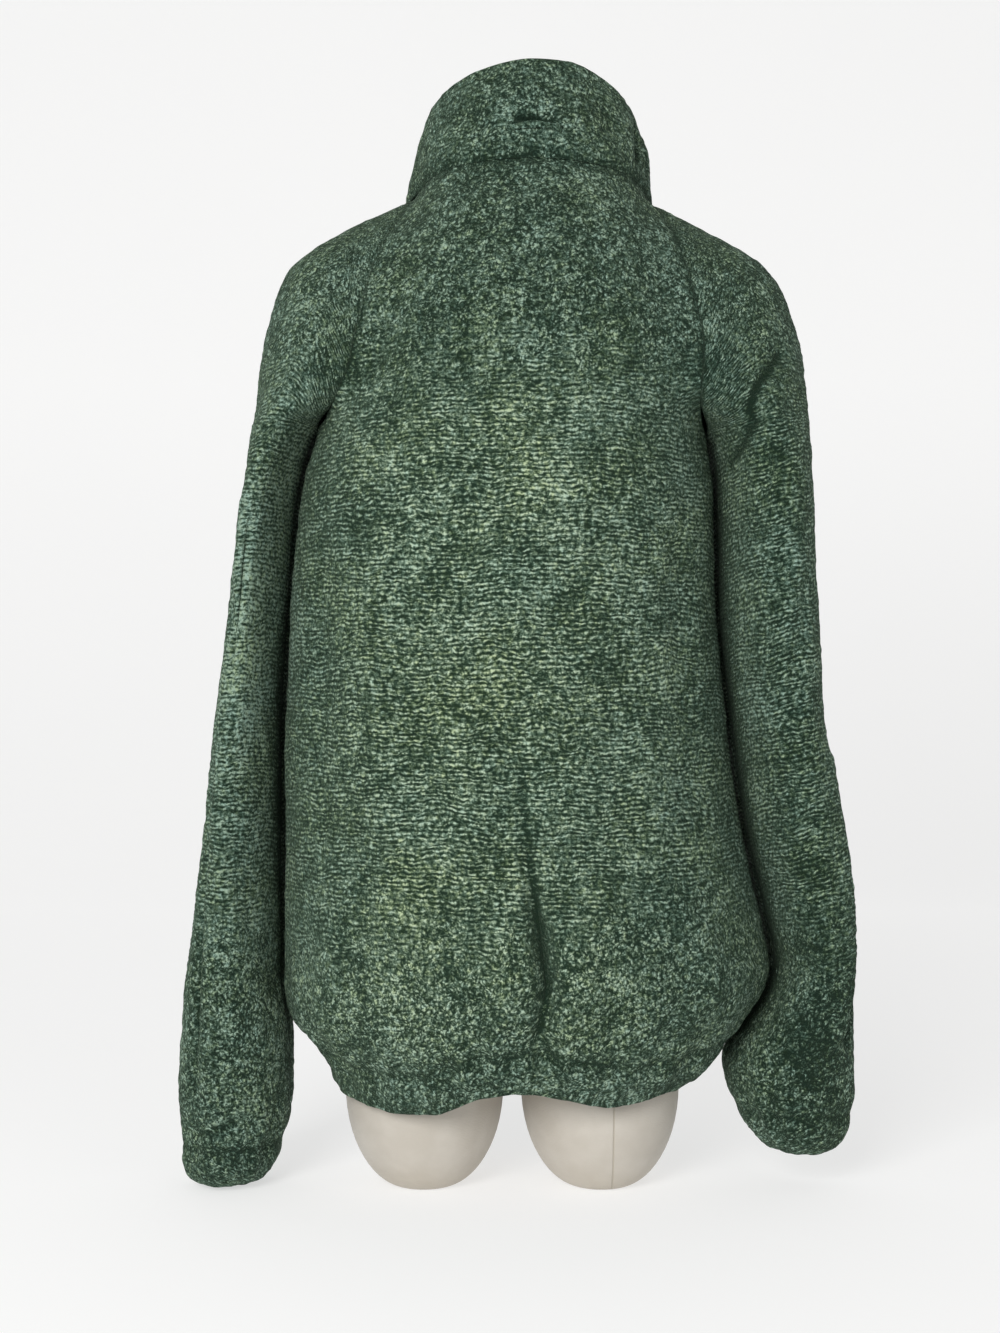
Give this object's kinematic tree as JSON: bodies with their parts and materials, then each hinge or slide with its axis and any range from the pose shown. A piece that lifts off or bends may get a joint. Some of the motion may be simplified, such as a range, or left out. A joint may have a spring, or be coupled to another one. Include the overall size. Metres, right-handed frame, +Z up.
{
  "type": "fleece jacket on a dress form",
  "caption": "Sherpa fleece jacket with raglan sleeves, stand collar, zip front and gathered hem and cuffs, worn by a limbless torso dress form that stands on its thigh ends.",
  "frame": {"origin": "on the floor plane, under the middle of the whole's bounding box", "axes": "+Z up, from the form's thigh ends to the collar; the jacket's front faces -Y and its back +Y; +X is the wearer's left"},
  "size_m": [0.5228, 0.2812, 0.869],
  "materials": {
    "fleece": "curly high-pile fleece, heathered grey-green",
    "form_linen": "fine matt cloth cover",
    "zip_tape": "woven tape",
    "zip_metal": "dark semi-gloss lacquer"
  },
  "bodies": {
    "jacket": {"dress_form": "form_linen", "back_panel": "fleece", "front_left": "fleece", "front_right": "fleece", "sleeve_left": "fleece", "sleeve_right": "fleece", "collar": "fleece", "hanger_loop": "fleece", "zip_tape_left": "zip_tape", "zip_tape_right": "zip_tape", "zip_slider": "zip_metal"},
    "pull": {"zip_pull": "zip_metal"}
  },
  "joints": [
    {"name": "pull_hinge", "type": "hinge", "parent": "jacket", "child": "pull", "pos_m": [-0.0114, -0.10025, 0.7764], "axis": [-1, 0, 0], "range_deg": [0, 150]}
  ]
}
